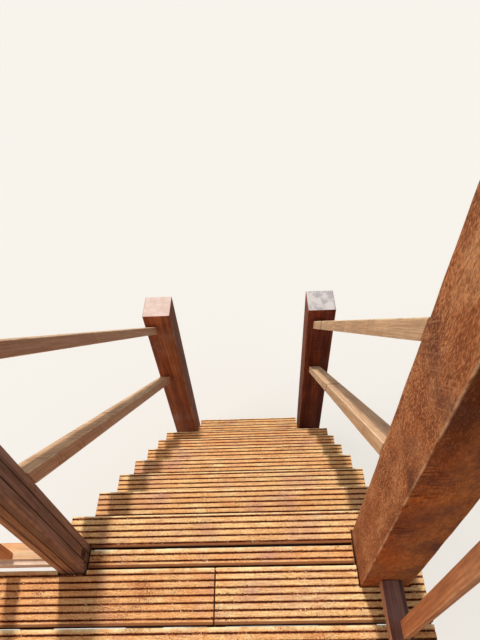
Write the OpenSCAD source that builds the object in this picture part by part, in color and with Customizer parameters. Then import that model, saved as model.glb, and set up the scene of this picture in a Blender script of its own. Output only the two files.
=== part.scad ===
// Open wooden garden stairs of nine treads, leading down from a small raised
// landing with its railings. Sizes in millimetres, Z up, Y runs down the flight.

/* [Flight] */
// Horizontal step from one nosing to the next
going = 164; // [150:1:172]
// Height from one tread to the next
rise = 209; // [195:1:215]
// Length of a tread across the flight
tread_w = 1038; // [1030:1:1120]
// Play left between the eighth tread and each lower post
lower_play = 16; // [8:1:24]
// How far a nosing stands out past its stringer notch
nosing_out = 35; // [32:1:40]

/* [Boards] */
// Thickness of every ribbed board
board_t = 28; // [24:1:32]
// Width of a landing board
wide_board = 145; // [140:1:148]
// Width of a tread board
narrow_board = 95; // [94:1:96]
// Width of the ripped strip behind the top tread
strip_w = 50; // [46:1:52]
// Gap between neighbouring boards
board_gap = 5; // [3:1:6]
// Gap behind the top tread's front board
strip_gap = 7; // [5:1:9]
// Distance from one groove to the next
rib_pitch = 19.2; // [18.5:0.1:19.6]
// Width of a groove at the surface
groove_w = 5; // [4:0.5:6]
// Depth of a groove
groove_d = 3.5; // [2.5:0.5:4.5]
// How much narrower a groove is at its bottom, on each side
groove_taper = 1; // [0.5:0.25:1.5]
// Small bevel along the long edges of a board
board_bevel = 2.5; // [1.5:0.5:3.5]

/* [Stringers] */
// Thickness of a notched stringer
stringer_t = 45; // [40:1:50]
// Wood left under the notches, square to the slope
stringer_throat = 120; // [100:5:150]
// Distance from the middle line to the outer face of a stringer
stringer_out = 361; // [355:1:366]

/* [Landing] */
// Rows of boards on the landing
landing_rows = 8; // [7:1:9]
// Distance from the stair's middle line to the right end of the boards
landing_right = 544; // [540:1:552]
// Distance from the stair's middle line to the left end of the boards
landing_left = 1691; // [1640:1:1740]
// Height of the joists and beams under the landing
joist_h = 145; // [120:5:170]
// Thickness of the joists and beams
joist_t = 43; // [39:1:46]
// Where every other row of landing boards meets end to end, left of the middle line
butt_x = 54; // [40:1:80]
// Gap between board ends that meet
butt_gap = 2.5; // [1:0.5:4]
// Inner joists under the landing
inner_joists = 3; // [3:1:4]

/* [Posts] */
// Side of a lower post
lower_post = 144; // [138:1:150]
// How far the near faces of the lower posts lie behind the eighth nosing
lower_post_back = 18; // [12:1:24]
// Height of a lower post over the eighth tread
lower_post_h = 1166; // [1120:2:1200]
// Width of a grooved post, across the flight
slim_post_w = 81; // [78:1:84]
// Depth of a grooved post, along the flight
slim_post_d = 82; // [79:1:85]
// Height of a grooved post over the landing's top rail
slim_post_over = 100; // [20:5:160]
// Width of a shallow groove running up a grooved post
post_groove = 5; // [4:0.5:7]
// Rounding of the long edges of a grooved post
post_round = 9; // [6:1:12]
// Left face of the upper left post, from the middle line
upper_left_x = 521; // [520:1:524]
// How far the near face of the upper left post lies behind the top nosing
upper_left_y = 167; // [158:1:172]
// Width of the heavy post, across the flight
heavy_post_w = 140; // [134:1:140]
// Depth of the heavy post, along the flight
heavy_post_d = 153; // [148:1:156]
// Far face of the heavy post, behind the top nosing
heavy_post_y = 61; // [58:1:64]
// Height of the heavy post over the landing
heavy_post_h = 1300; // [1230:5:1400]

/* [Railings] */
// Wide side of a rail
rail_w = 60; // [54:1:62]
// Narrow side of a rail
rail_t = 40; // [36:1:44]
// Height of both top rails over the landing, where they leave the upper posts
top_rail_high = 972; // [940:1:1000]
// How far the top rails end under the tops of the lower posts
top_rail_low = 83; // [60:1:110]
// Height of the left middle rail over the landing, at its upper post
left_mid_high = 512; // [480:1:540]
// How far the left middle rail ends under the top of its lower post
left_mid_low = 539; // [500:1:570]
// Height of the right middle rail over the landing, at its upper post
right_mid_high = 562; // [530:1:590]
// How far the right middle rail ends under the top of its lower post
right_mid_low = 482; // [450:1:510]
// How far the right rails end inside the face of their lower post
right_rail_in = 32; // [20:1:44]
// Height of the landing's top rail over its boards
guard_h = 1000; // [950:5:1040]
// Space under the landing's bottom rails
guard_low = 28; // [20:1:40]
// Distance from the heavy post's left face to the landing's right railing
side_rail_in = 47; // [40:1:60]
// Width of the step along one edge of the bottom rails
rebate_w = 13; // [10:1:16]
// Depth of that step
rebate_d = 10; // [6:1:14]
// Width of a baluster along its rail
baluster_w = 40; // [36:1:45]
// Thickness of a baluster across its rail
baluster_t = 18; // [16:1:22]
// Widest clear gap between two balusters
baluster_gap = 122; // [105:1:125]
// Widest clear gap in the landing's right railing, where they stand closer
right_baluster_gap = 105; // [90:1:115]

/* [Hidden] */

// treads of the flight, the one level with the landing included
treads = 9;
// grooves in a landing board, a tread board and the ripped strip
wide_grooves = 7;
narrow_grooves = 5;
strip_grooves = 2;
// fine play between a board and what it is cut round
cut_play = 3;
// joists between the joints of neighbouring rows
joint_shift = 2;

// the top of the landing boards over the ground
deck_h = treads * rise;
// the depth of a tread made of two boards
tread_d = 2 * narrow_board + board_gap;
// the front edge of the landing boards, behind the top nosing
deck_front = narrow_board + strip_gap + strip_w + board_gap;
row_pitch = wide_board + board_gap;
deck_rear = deck_front + landing_rows * row_pitch - board_gap;
// the beams that frame the landing: their top and their inside faces
frame_top = deck_h - board_t;
frame_left = landing_left - joist_t;
frame_right = landing_right - joist_t;
frame_rear = deck_rear - joist_t;
frame_front = deck_front + joist_t;
joist_step = (frame_left - butt_x) / inner_joists;
// the lower posts stand against the outer faces of the stringers
lower_post_y = (treads - 2) * going - lower_post_back;
lower_post_top = 2 * rise + lower_post_h;
// the heavy post: left face and near face
heavy_x = stringer_out;
heavy_near = heavy_post_y + heavy_post_d;
slim_post_h = guard_h + slim_post_over;
// slope of the flight and of its stringers
slope = atan(rise / going);
run_end = (treads - 1) * going;
// place of the model's zero point: middle of the outline, on the ground
mid_x = (landing_right - landing_left) / 2;
mid_y = (run_end - deck_rear) / 2;
// left edges of the stair rails: flush with the upper posts at the top
left_rail_top_x = slim_post_w - upper_left_x - rail_w;
left_rail_low_x = -stringer_out - lower_post;
right_rail_top_x = heavy_x;
right_rail_low_x = stringer_out + right_rail_in;
// the landing's railings: inner faces of their far posts
outer_post_x = landing_left - slim_post_w;
rear_post_right = frame_right - slim_post_w;
rear_face = slim_post_d - deck_rear;
side_rail_right = heavy_x + side_rail_in;
low_rail_top = guard_low + rail_t;

// the number of balusters that keeps every gap under the widest one
function baluster_count(span, widest) = ceil((span - widest) / (baluster_w + widest));
function nosing_y(k) = (k - 1) * going;
function tread_top(k) = deck_h - (k - 1) * rise;

module place() {
  translate([-mid_x, -mid_y, 0]) children();
}

// a box given by its lowest corner and its highest corner
module span_box(low, high) {
  translate(low) cube(high - low);
}

// section of a ribbed board: flat back, bevelled edges and a row of grooves
module board_section(w, grooves) {
  first = (w - (grooves - 1) * rib_pitch) / 2;
  difference() {
    polygon([[0, 0], [w, 0], [w, board_t - board_bevel], [w - board_bevel, board_t],
      [board_bevel, board_t], [0, board_t - board_bevel]]);
    for (i = [0 : grooves - 1]) {
      x = first + i * rib_pitch;
      left = x - groove_w / 2;
      right = x + groove_w / 2;
      polygon([[left, board_t + 1], [left, board_t], [left + groove_taper, board_t - groove_d],
        [right - groove_taper, board_t - groove_d], [right, board_t], [right, board_t + 1]]);
    }
  }
}

// a ribbed board along X, its top at z, its near edge at y
module board(x0, x1, y, z, w, grooves) {
  translate([x0, y, z - board_t])
    rotate([90, 0, 90])
      linear_extrude(x1 - x0) board_section(w, grooves);
}

// two narrow boards side by side, the nosing at y and the top at z
module tread_pair(half, y, z) {
  board(-half, half, y - narrow_board, z, narrow_board, narrow_grooves);
  board(-half, half, y - tread_d, z, narrow_board, narrow_grooves);
}

// a notched stringer as one saw-tooth outline, from the landing to the ground
module stringer(x) {
  drop = stringer_throat / cos(slope);
  top_y = -deck_front;
  // under side of the board: the line through the inner corners, moved down square to it
  inner_y = nosing_y(1) - nosing_out;
  inner_z = tread_top(2) - board_t;
  low_at_top = inner_z - drop - (top_y - inner_y) * rise / going;
  foot_y = inner_y + (inner_z - drop) * going / rise;
  steps = [for (k = [1 : treads]) each [
    [k == 1 ? top_y : nosing_y(k - 1) - nosing_out, tread_top(k) - board_t],
    [nosing_y(k) - nosing_out, tread_top(k) - board_t]]];
  outline = concat(steps,
    [[run_end - nosing_out, 0], [foot_y, 0], [top_y, min(low_at_top, frame_top - joist_h)]]);
  color("peru") translate([x, 0, 0])
    rotate([90, 0, 90]) linear_extrude(stringer_t) polygon(outline);
}

module tread(k) {
  color("sandybrown") {
    if (k == 1) top_tread();
    else if (k == treads - 1) tread_pair(stringer_out - lower_play, nosing_y(k), tread_top(k));
    else if (k == treads) tread_pair(stringer_out - cut_play, nosing_y(k), tread_top(k));
    else tread_pair(tread_w / 2, nosing_y(k), tread_top(k));
  }
}

// the top tread lies level with the landing and is cut round both upper posts
module top_tread() {
  difference() {
    board(-tread_w / 2, tread_w / 2, -narrow_board, deck_h, narrow_board, narrow_grooves);
    span_box([-upper_left_x - cut_play, -narrow_board - 1, 0],
      [-upper_left_x + slim_post_w + cut_play, slim_post_d - upper_left_y + cut_play, deck_h + 1]);
    span_box([heavy_x - board_gap, -narrow_board - 1, 0],
      [tread_w / 2 + 1, -heavy_post_y + cut_play, deck_h + 1]);
  }
  board(-upper_left_x + slim_post_w + cut_play, heavy_x - board_gap,
    -deck_front + board_gap, deck_h, strip_w, strip_grooves);
}

module lower_post(x) {
  color("saddlebrown")
    translate([x, lower_post_y, 0]) cube([lower_post, lower_post, lower_post_top]);
}

// plan of a slim post: an oblong with rounded corners
module slim_plan() {
  translate([post_round, 0]) square([slim_post_w - 2 * post_round, slim_post_d]);
  translate([0, post_round]) square([slim_post_w, slim_post_d - 2 * post_round]);
  for (x = [post_round, slim_post_w - post_round], y = [post_round, slim_post_d - post_round])
    translate([x, y]) circle(post_round, $fn = 32);
}

// a slim post with two shallow grooves up each face
module slim_post(x, y) {
  color("sienna") translate([x, y, 0]) linear_extrude(deck_h + slim_post_h)
    difference() {
      slim_plan();
      for (side = [0, 1], part = [1, 2]) {
        translate([slim_post_w * part / 3, side * slim_post_d]) rotate(45)
          square(post_groove / sqrt(2), center = true);
        translate([side * slim_post_w, slim_post_d * part / 3]) rotate(45)
          square(post_groove / sqrt(2), center = true);
      }
    }
}

module heavy_post() {
  color("chocolate")
    translate([heavy_x, -heavy_near, 0])
      cube([heavy_post_w, heavy_post_d, deck_h + heavy_post_h]);
}

// a straight bar between two upright ends, given by the lower left corner of each
module sloping_bar(high, low, w, d) {
  ends = [for (p = [high, low]) each [p, p + [w, 0, 0], p + [w, 0, d], p + [0, 0, d]]];
  polyhedron(ends, [[0, 3, 2, 1], [4, 5, 6, 7], [0, 1, 5, 4], [1, 2, 6, 5], [2, 3, 7, 6], [3, 0, 4, 7]]);
}

// a stair rail laid flat, from the far face of an upper post down to a lower post
module stair_rail(x_top, x_low, high, low, start_y) {
  top_z = deck_h + high;
  low_z = lower_post_top - low;
  fall = (top_z - low_z) / (lower_post_y - start_y);
  d = rail_t * sqrt(1 + fall * fall);
  color("burlywood")
    sloping_bar([x_top, start_y, top_z - d], [x_low, lower_post_y, low_z - d], rail_w, d);
}

// landing boards in rows, each row of two lengths that meet over a joist
module landing_boards() {
  color("goldenrod") difference() {
    for (row = [0 : landing_rows - 1]) {
      y = -deck_front - wide_board - row * row_pitch;
      joint = -butt_x - (row % 2 == 0 ? 0 : joint_shift * joist_step);
      board(-landing_left, joint - butt_gap / 2, y, deck_h, wide_board, wide_grooves);
      board(joint + butt_gap / 2, landing_right, y, deck_h, wide_board, wide_grooves);
    }
    span_box([heavy_x - cut_play, -heavy_near - cut_play, 0],
      [heavy_x + heavy_post_w + cut_play, 0, deck_h + 1]);
    span_box([-upper_left_x - cut_play, -upper_left_y - cut_play, 0],
      [slim_post_w - upper_left_x + cut_play, 0, deck_h + 1]);
    for (x = [-frame_left, rear_post_right])
      span_box([x - cut_play, -deck_rear - 1, 0],
        [x + slim_post_w + cut_play, rear_face + cut_play, deck_h + 1]);
  }
}

module beam_x(x0, x1, y) {
  color("tan") span_box([x0, y, frame_top - joist_h], [x1, y + joist_t, frame_top]);
}

// the front beam lets the upper left post in where it stands back
module front_beam() {
  difference() {
    beam_x(-frame_left, heavy_x, -frame_front);
    span_box([-upper_left_x, -upper_left_y, 0], [slim_post_w - upper_left_x, 0, deck_h]);
  }
}

module beam_y(x, y0, y1) {
  color("tan") span_box([x, y0, frame_top - joist_h], [x + joist_t, y1, frame_top]);
}

module landing_joists() {
  for (i = [0 : inner_joists - 1])
    beam_y(-butt_x - i * joist_step - joist_t / 2, -frame_rear, -frame_front);
}

// a guard rail, given by the lowest corner of its plan and its plan size
module guard_rail(low, size) {
  color("burlywood") translate([low[0], low[1], deck_h + guard_h - rail_t])
    cube([size[0], size[1], rail_t]);
}

// section of a bottom rail, with the step along its left edge or, turned, along its right edge
module bottom_rail_section(turned) {
  corners = [[0, 0], [rail_w, 0], [rail_w, rail_t], [rebate_w, rail_t],
    [rebate_w, rail_t - rebate_d], [0, rail_t - rebate_d]];
  polygon([for (p = corners) turned ? [rail_w - p[0], p[1]] : p]);
}

module bottom_rail_x(x0, x1, y) {
  color("burlywood") translate([x0, y, deck_h + guard_low])
    rotate([90, 0, 90]) linear_extrude(x1 - x0) bottom_rail_section(false);
}

module bottom_rail_y(y0, y1, x, turned) {
  color("burlywood") translate([x, y1, deck_h + guard_low])
    rotate([90, 0, 0]) linear_extrude(y1 - y0) bottom_rail_section(turned);
}

// a row of balusters between the two rails, along X from x0 to x1
module balusters_x(x0, x1, y, widest) {
  n = baluster_count(x1 - x0, widest);
  gap = (x1 - x0 - n * baluster_w) / (n + 1);
  color("peru") for (i = [0 : n - 1])
    span_box([x0 + gap + i * (gap + baluster_w), y, deck_h + low_rail_top],
      [x0 + (i + 1) * (gap + baluster_w), y + baluster_t, deck_h + guard_h - rail_t]);
}

module balusters_y(y0, y1, x, widest) {
  n = baluster_count(y1 - y0, widest);
  gap = (y1 - y0 - n * baluster_w) / (n + 1);
  color("peru") for (i = [0 : n - 1])
    span_box([x, y0 + gap + i * (gap + baluster_w), deck_h + low_rail_top],
      [x + baluster_t, y0 + (i + 1) * (gap + baluster_w), deck_h + guard_h - rail_t]);
}

place() stringer(-stringer_out);  // left_stringer
place() stringer(stringer_out - stringer_t);  // right_stringer
place() tread(1);  // tread_1
place() tread(2);  // tread_2
place() tread(3);  // tread_3
place() tread(4);  // tread_4
place() tread(5);  // tread_5
place() tread(6);  // tread_6
place() tread(7);  // tread_7
place() tread(8);  // tread_8
place() tread(9);  // tread_9
place() lower_post(-stringer_out - lower_post);  // lower_left_post
place() lower_post(stringer_out);  // lower_right_post
place() slim_post(-upper_left_x, -upper_left_y);  // upper_left_post
place() heavy_post();  // upper_right_post
place() slim_post(-landing_left, -deck_front);  // front_left_post
place() slim_post(-frame_left, -deck_rear);  // rear_left_post
place() slim_post(rear_post_right, -deck_rear);  // rear_right_post
place()  // left_top_rail
  stair_rail(left_rail_top_x, left_rail_low_x, top_rail_high, top_rail_low, slim_post_d - upper_left_y);
place()  // left_middle_rail
  stair_rail(left_rail_top_x, left_rail_low_x, left_mid_high, left_mid_low, slim_post_d - upper_left_y);
place()  // right_top_rail
  stair_rail(right_rail_top_x, right_rail_low_x, top_rail_high, top_rail_low, -heavy_post_y);
place()  // right_middle_rail
  stair_rail(right_rail_top_x, right_rail_low_x, right_mid_high, right_mid_low, -heavy_post_y);
place() landing_boards();
place() front_beam();
place()  // rear_beam
  beam_x(slim_post_w - frame_left, rear_post_right, -deck_rear);
place() beam_y(-landing_left, -deck_rear, -deck_front);  // left_rim_beam
place() beam_y(frame_right, -deck_rear, -deck_front);  // right_rim_beam
place() landing_joists();
place()  // front_bottom_rail
  bottom_rail_x(-outer_post_x, -upper_left_x, -deck_front);
place()  // front_guard_rail
  guard_rail([-outer_post_x, -deck_front], [outer_post_x - upper_left_x, rail_w]);
place()  // front_balusters
  balusters_x(-outer_post_x, -upper_left_x, rebate_w - deck_front, baluster_gap);
place()  // right_bottom_rail
  bottom_rail_y(rear_face, -heavy_near, side_rail_right, true);
place()  // right_guard_rail
  guard_rail([side_rail_right, rear_face], [rail_w, -heavy_near - rear_face]);
place()  // right_balusters
  balusters_y(rear_face, -heavy_near, side_rail_right + rail_w - rebate_w - baluster_t,
    right_baluster_gap);
place()  // left_bottom_rail
  bottom_rail_y(rear_face, -deck_front, -frame_left, false);
place()  // left_guard_rail
  guard_rail([-frame_left, rear_face], [rail_w, -deck_front - rear_face]);
place()  // left_balusters
  balusters_y(rear_face, -deck_front, rebate_w - frame_left, baluster_gap);
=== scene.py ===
import math

import bmesh
import bpy
import numpy as np
from mathutils import Matrix, Vector


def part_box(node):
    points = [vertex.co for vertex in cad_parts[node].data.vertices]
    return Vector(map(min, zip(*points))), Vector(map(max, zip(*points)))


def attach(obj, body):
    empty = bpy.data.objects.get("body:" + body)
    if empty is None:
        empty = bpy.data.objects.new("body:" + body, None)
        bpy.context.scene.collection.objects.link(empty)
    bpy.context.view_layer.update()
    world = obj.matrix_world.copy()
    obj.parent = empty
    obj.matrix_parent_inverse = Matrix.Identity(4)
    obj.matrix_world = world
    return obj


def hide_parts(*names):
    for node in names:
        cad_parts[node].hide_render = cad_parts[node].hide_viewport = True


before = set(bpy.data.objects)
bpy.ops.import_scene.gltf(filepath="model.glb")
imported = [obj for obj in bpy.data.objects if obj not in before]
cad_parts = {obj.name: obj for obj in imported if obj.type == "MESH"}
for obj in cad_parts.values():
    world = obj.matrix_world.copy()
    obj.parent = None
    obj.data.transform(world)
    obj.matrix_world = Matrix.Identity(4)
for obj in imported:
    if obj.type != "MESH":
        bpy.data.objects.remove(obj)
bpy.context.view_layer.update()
print("frame loaded:", len(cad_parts), "nodes")

# the flight's own zero: its middle line, the top nosing and the landing's surface
topLow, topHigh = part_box("tread_1")
flightZero = np.array([(topLow[0] + topHigh[0]) / 2, topHigh[1], topHigh[2]])
chance = np.random.default_rng(41)

grainRange = 30.0  # metres: every board takes its grain from another spot of the same endless wood

acrossX, downY, upZ = np.eye(3)


def softCorners(corners, radius, steps=2):
    # corner v becomes (1-t)^2 a + 2t(1-t) v + t^2 b, with a and b one radius away on its two sides
    v = np.array(corners, float)
    ahead = np.roll(v, -1, 0)
    if np.sum(v[:, 0] * ahead[:, 1] - ahead[:, 0] * v[:, 1]) < 0:  # always anticlockwise
        v = v[::-1].copy()
        radius = radius[::-1] if np.ndim(radius) else radius
    back, ahead = np.roll(v, 1, 0) - v, np.roll(v, -1, 0) - v
    backLength = np.linalg.norm(back, axis=1)
    aheadLength = np.linalg.norm(ahead, axis=1)
    share = 0.45  # a corner takes no more than this of either side
    reach = np.minimum(np.broadcast_to(radius, len(v)), share * np.minimum(backLength, aheadLength))
    a = v + back * (reach / backLength)[:, None]
    b = v + ahead * (reach / aheadLength)[:, None]
    t = np.linspace(0, 1, steps + 1)[None, :, None]
    curve = (1 - t) ** 2 * a[:, None] + 2 * t * (1 - t) * v[:, None] + t ** 2 * b[:, None]
    outward = back[:, 0] * ahead[:, 1] - back[:, 1] * ahead[:, 0] < 0
    worn = np.sin(np.pi * t[:, :, 0]) * outward[:, None]
    return curve.reshape(-1, 2), worn.ravel()


def boxCorners(width, height):
    return [[0, 0], [width, 0], [width, height], [0, height]]


def outlineNormals(outline):
    # the normal at a point is the tangent through its two neighbours, turned a quarter clockwise
    tangent = np.roll(outline, -1, 0) - np.roll(outline, 1, 0)
    tangent /= np.maximum(np.linalg.norm(tangent, axis=1, keepdims=True), 1e-9)
    return np.stack([tangent[:, 1], -tangent[:, 0]], 1)


def carryProfile(profile, start, along, across, up, wander, chamfer, spacing, cuts=(), groove=None,
                 seam=-1.0, tone=None):
    # point(s, k) = start + s * along / length + (u + du) * across + (w + dw) * up for outline point (u, w),
    # (du, dw) = normal * (-wander * (1 + mean of three sines of s and k) / 2 - chamfer at both ends);
    # a cut holds u at its limit over a stretch of s, as where a board is notched round a post
    outline, worn = profile
    length = float(np.linalg.norm(along))
    marks = np.concatenate([[0, chamfer], np.linspace(0, length, max(3, int(length / spacing) + 2))[1:-1],
                            [length - chamfer, length]])
    nick = 1e-5  # a cut's wall stands between two stations this far either side of it
    clear = 0.004  # and no other station comes nearer to it than this
    for low, high, _, _ in cuts:
        marks = marks[(np.abs(marks - low) > clear) & (np.abs(marks - high) > clear)]
        marks = np.concatenate([marks, [m for m in (low - nick, low + nick, high - nick, high + nick)
                                        if 0 < m < length]])
    s = np.sort(marks)[:, None]
    count = len(outline)
    k = np.arange(count)[None, :]
    waves = ((9.0, 0.35), (23.0, 0.9), (47.0, -1.7))  # radians for each metre and for each point
    phase = chance.uniform(0, 2 * np.pi, 6)  # three are used, six are drawn
    wave = sum(np.sin(s * a + k * b + p) for (a, b), p in zip(waves, phase)) / len(waves)
    atEnd = (s < 1e-9) | (s > length - 1e-9)
    shift = -wander * (1 + wave) / 2 - np.where(atEnd, chamfer, 0)
    normal = outlineNormals(outline)
    u = outline[None, :, 0] + shift * normal[None, :, 0]
    w = outline[None, :, 1] + shift * normal[None, :, 1]
    top, bottom = outline[:, 1].max(), outline[:, 1].min()
    for low, high, side, limit in cuts:
        beyond = (u < limit) if side == "near" else (u > limit)
        held = beyond & (s > low) & (s < high)
        w = np.where(held, np.where(outline[None, :, 1] > (top + bottom) / 2, top, bottom), w)
        u = np.where(held, limit, u)
    points = (np.asarray(start, float) + (s / length)[:, :, None] * along
              + u[:, :, None] * across + w[:, :, None] * up)
    stations = len(s)
    i, j = np.meshgrid(np.arange(stations - 1), np.arange(count), indexing="ij")
    ahead = (j + 1) % count
    quads = np.stack([i * count + j, i * count + ahead, (i + 1) * count + ahead, (i + 1) * count + j], -1)
    flat = np.stack([np.broadcast_to(s, u.shape), u, w], -1).reshape(-1, 3)
    depth = np.zeros(u.shape) if groove is None else np.broadcast_to(groove, u.shape)
    anyTone = chance.uniform(-0.6, 0.6)
    return {"points": points.reshape(-1, 3), "quads": quads.reshape(-1, 4),
            "caps": [np.arange(count)[::-1], (stations - 1) * count + np.arange(count)],
            "flat": flat, "place": flat + chance.uniform(-grainRange, grainRange, 3),
            "worn": np.broadcast_to(worn, u.shape).ravel(), "groove": depth.ravel(),
            "tone": np.full(u.size, anyTone if tone is None else tone),
            "rib": np.zeros(u.size), "gap": np.zeros(u.size),
            "seam": flat[:, 0] - seam}


def addObject(name, data):
    thing = bpy.data.objects.new(name, data)
    bpy.context.scene.collection.objects.link(thing)
    return thing


places = {"place": "woodPlace", "flat": "piecePlace"}
values = {"worn": "wornEdge", "groove": "grooveDepth", "tone": "boardTone", "rib": "ribCount",
          "gap": "gapDepth", "seam": "fromSeam"}
mergeWithin, sharpFrom = 3e-5, math.radians(38)


def makePiece(node, lengths, materials, name=""):
    # joins carried profiles into one closed mesh; the caps take the second material
    first, *words = node.split("_")
    name = name or first + "".join(word.title() for word in words)
    starts = np.cumsum([0] + [len(p["points"]) for p in lengths])
    gather = {key: np.concatenate([p[key] for p in lengths]) for key in ("points", *places, *values)}
    quads = np.concatenate([p["quads"] + o for p, o in zip(lengths, starts)])
    caps = [c + o for p, o in zip(lengths, starts) for c in p["caps"]]
    sizes = np.concatenate([np.full(len(quads), 4), [len(c) for c in caps]])
    mesh = bpy.data.meshes.new(name)
    mesh.vertices.add(len(gather["points"]))
    mesh.vertices.foreach_set("co", gather["points"].ravel())
    mesh.loops.add(int(sizes.sum()))
    mesh.loops.foreach_set("vertex_index", np.concatenate([quads.ravel(), *caps]).astype(np.int32))
    mesh.polygons.add(len(sizes))
    mesh.polygons.foreach_set("loop_start", np.concatenate([[0], np.cumsum(sizes)[:-1]]).astype(np.int32))
    takesSecond = (sizes > 4) & (len(materials) > 1)
    mesh.polygons.foreach_set("material_index", takesSecond.astype(np.int32))
    mesh.update(calc_edges=True)
    for key, label in places.items():
        mesh.attributes.new(label, "FLOAT_VECTOR", "POINT").data.foreach_set("vector", gather[key].ravel())
    for key, label in values.items():
        mesh.attributes.new(label, "FLOAT", "POINT").data.foreach_set("value", gather[key])
    for material in materials:
        mesh.materials.append(material)
    shell = bmesh.new()
    shell.from_mesh(mesh)
    bmesh.ops.remove_doubles(shell, verts=shell.verts, dist=mergeWithin)
    shell.to_mesh(mesh)
    shell.free()
    mesh.polygons.foreach_set("use_smooth", np.ones(len(mesh.polygons), bool))
    mesh.set_sharp_from_angle(angle=sharpFrom)
    piece = addObject(name, mesh)
    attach(piece, "root")
    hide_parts(node)
    print("made", name, len(mesh.polygons), "faces")


def tint(red, green, blue):
    # a screen colour of 0 to 255 as the linear value a socket takes: ((c + 0.055) / 1.055) ^ 2.4
    screen = np.array([red, green, blue]) / 255
    return (*(((screen + 0.055) / 1.055) ** 2.4).tolist(), 1.0)


def addNode(tree, kind, wires=None, **settings):
    node = tree.nodes.new(kind)
    for label, value in settings.items():
        setattr(node, label, value)
    for socket, value in (wires or {}).items():
        if isinstance(value, bpy.types.NodeSocket):
            tree.links.new(value, node.inputs[socket])
        else:
            node.inputs[socket].default_value = value
    return node


def noise(tree, place, scale, detail=3.0, roughness=0.5, output=0):
    return addNode(tree, "ShaderNodeTexNoise", {"Vector": place, "Scale": scale, "Detail": detail,
                                                "Roughness": roughness}).outputs[output]


def spread(tree, value, low, high, outLow=0.0, outHigh=1.0):
    return addNode(tree, "ShaderNodeMapRange", {"Value": value, "From Min": low, "From Max": high,
                                                "To Min": outLow, "To Max": outHigh}).outputs[0]


def maths(tree, kind, first, second=0.0):
    return addNode(tree, "ShaderNodeMath", {0: first, 1: second}, operation=kind).outputs[0]


def times(tree, first, second):
    return maths(tree, "MULTIPLY", first, second)


def plus(tree, first, second):
    return maths(tree, "ADD", first, second)


def vectorMaths(tree, kind, first, second=(0.0, 0.0, 0.0)):
    node = addNode(tree, "ShaderNodeVectorMath", {0: first, 1: second}, operation=kind)
    return node.outputs["Value" if kind == "LENGTH" else "Vector"]


def vector(tree, x, y, z=0.0):
    return addNode(tree, "ShaderNodeCombineXYZ", {0: x, 1: y, 2: z}).outputs[0]


def parts(tree, place):
    return addNode(tree, "ShaderNodeSeparateXYZ", {0: place}).outputs


def blend(tree, factor, first, second):
    return addNode(tree, "ShaderNodeMix", {0: factor, 6: first, 7: second}, data_type="RGBA").outputs[2]


def ramp(tree, value, stops):
    node = addNode(tree, "ShaderNodeValToRGB", {0: value})
    while len(node.color_ramp.elements) < len(stops):
        node.color_ramp.elements.new(0.5)
    for element, (position, colour) in zip(node.color_ramp.elements, stops):
        element.position, element.color = position, colour
    return node.outputs[0]


def layers(tree, colour, look, masks):
    # lays one colour of the look after another over the ground, each where its mask is strong
    for other, mask in masks:
        colour = blend(tree, mask, colour, look[other])
    return colour


def attribute(tree, label):
    node = addNode(tree, "ShaderNodeAttribute", attribute_name=label)
    return node.outputs["Vector" if label.endswith("Place") else "Fac"]


def useGroup(tree, group, wires):
    return addNode(tree, "ShaderNodeGroup", wires, node_tree=group).outputs


socketKinds = {"Place": "Vector", "Centre": "Vector", "Color": "Color", "Worn": "Color", "Grey": "Color"}


def startGroup(name, takes, gives):
    # a shared effect; its sockets carry single numbers, but for those named above
    tree = bpy.data.node_groups.new(name, "ShaderNodeTree")
    for way, labels in (("INPUT", takes), ("OUTPUT", gives)):
        for label in labels.split():
            tree.interface.new_socket(label, in_out=way,
                                      socket_type="NodeSocket" + socketKinds.get(label, "Float"))
    return tree, tree.nodes.new("NodeGroupInput").outputs


def closeGroup(tree, **results):
    addNode(tree, "NodeGroupOutput", results)
    return tree


def woodFigureGroup():
    # long streaks, broad bands, cloudy patches and short pores, all drawn out along the grain
    tree, takes = startGroup("woodFigure", "Place Along Across", "Streaks Bands Clouds Pores")
    place = takes["Place"]
    bend = vectorMaths(tree, "SUBTRACT", noise(tree, place, 3.0, 1.0, output=1), (0.5, 0.5, 0.5))
    bend = vectorMaths(tree, "MULTIPLY", bend, (0.0, 0.016, 0.016))
    drawn = vectorMaths(tree, "MULTIPLY", vectorMaths(tree, "ADD", place, bend),
                        vector(tree, takes["Along"], takes["Across"], takes["Across"]))
    return closeGroup(tree, Streaks=noise(tree, drawn, 1.0, 5.0, 0.62), Bands=noise(tree, drawn, 0.16),
                      Clouds=noise(tree, place, 7.0, 3.0, 0.55),
                      Pores=spread(tree, noise(tree, drawn, 3.2, 2.0), 0.60, 0.72))


def crossMarkGroup():
    # marks that run across the grain in uneven patches: curly figure, or the teeth of a saw
    tree, takes = startGroup("crossMarks", "Place Pitch", "Marks")
    rate = vector(tree, maths(tree, "DIVIDE", 1.0, takes["Pitch"]), 14.0, 14.0)
    bands = noise(tree, vectorMaths(tree, "MULTIPLY", takes["Place"], rate), 1.0, 2.0, 0.6)
    patches = spread(tree, noise(tree, takes["Place"], 6.0, 2.0), 0.40, 0.60)
    return closeGroup(tree, Marks=times(tree, spread(tree, bands, 0.48, 0.62), patches))


def speckleGroup():
    # torn fibres of rough sawn wood: pale and dark specks, a little longer along the grain
    tree, takes = startGroup("sawnSpecks", "Place Size", "Dark Pale Relief")
    rate = maths(tree, "DIVIDE", 1.0, takes["Size"])
    drawn = vectorMaths(tree, "MULTIPLY", takes["Place"], vector(tree, times(tree, rate, 0.32), rate, rate))
    fibres = noise(tree, drawn, 1.0, 3.0, 0.6)
    return closeGroup(tree, Dark=spread(tree, fibres, 0.49, 0.38), Pale=spread(tree, fibres, 0.52, 0.64),
                      Relief=fibres)


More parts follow.
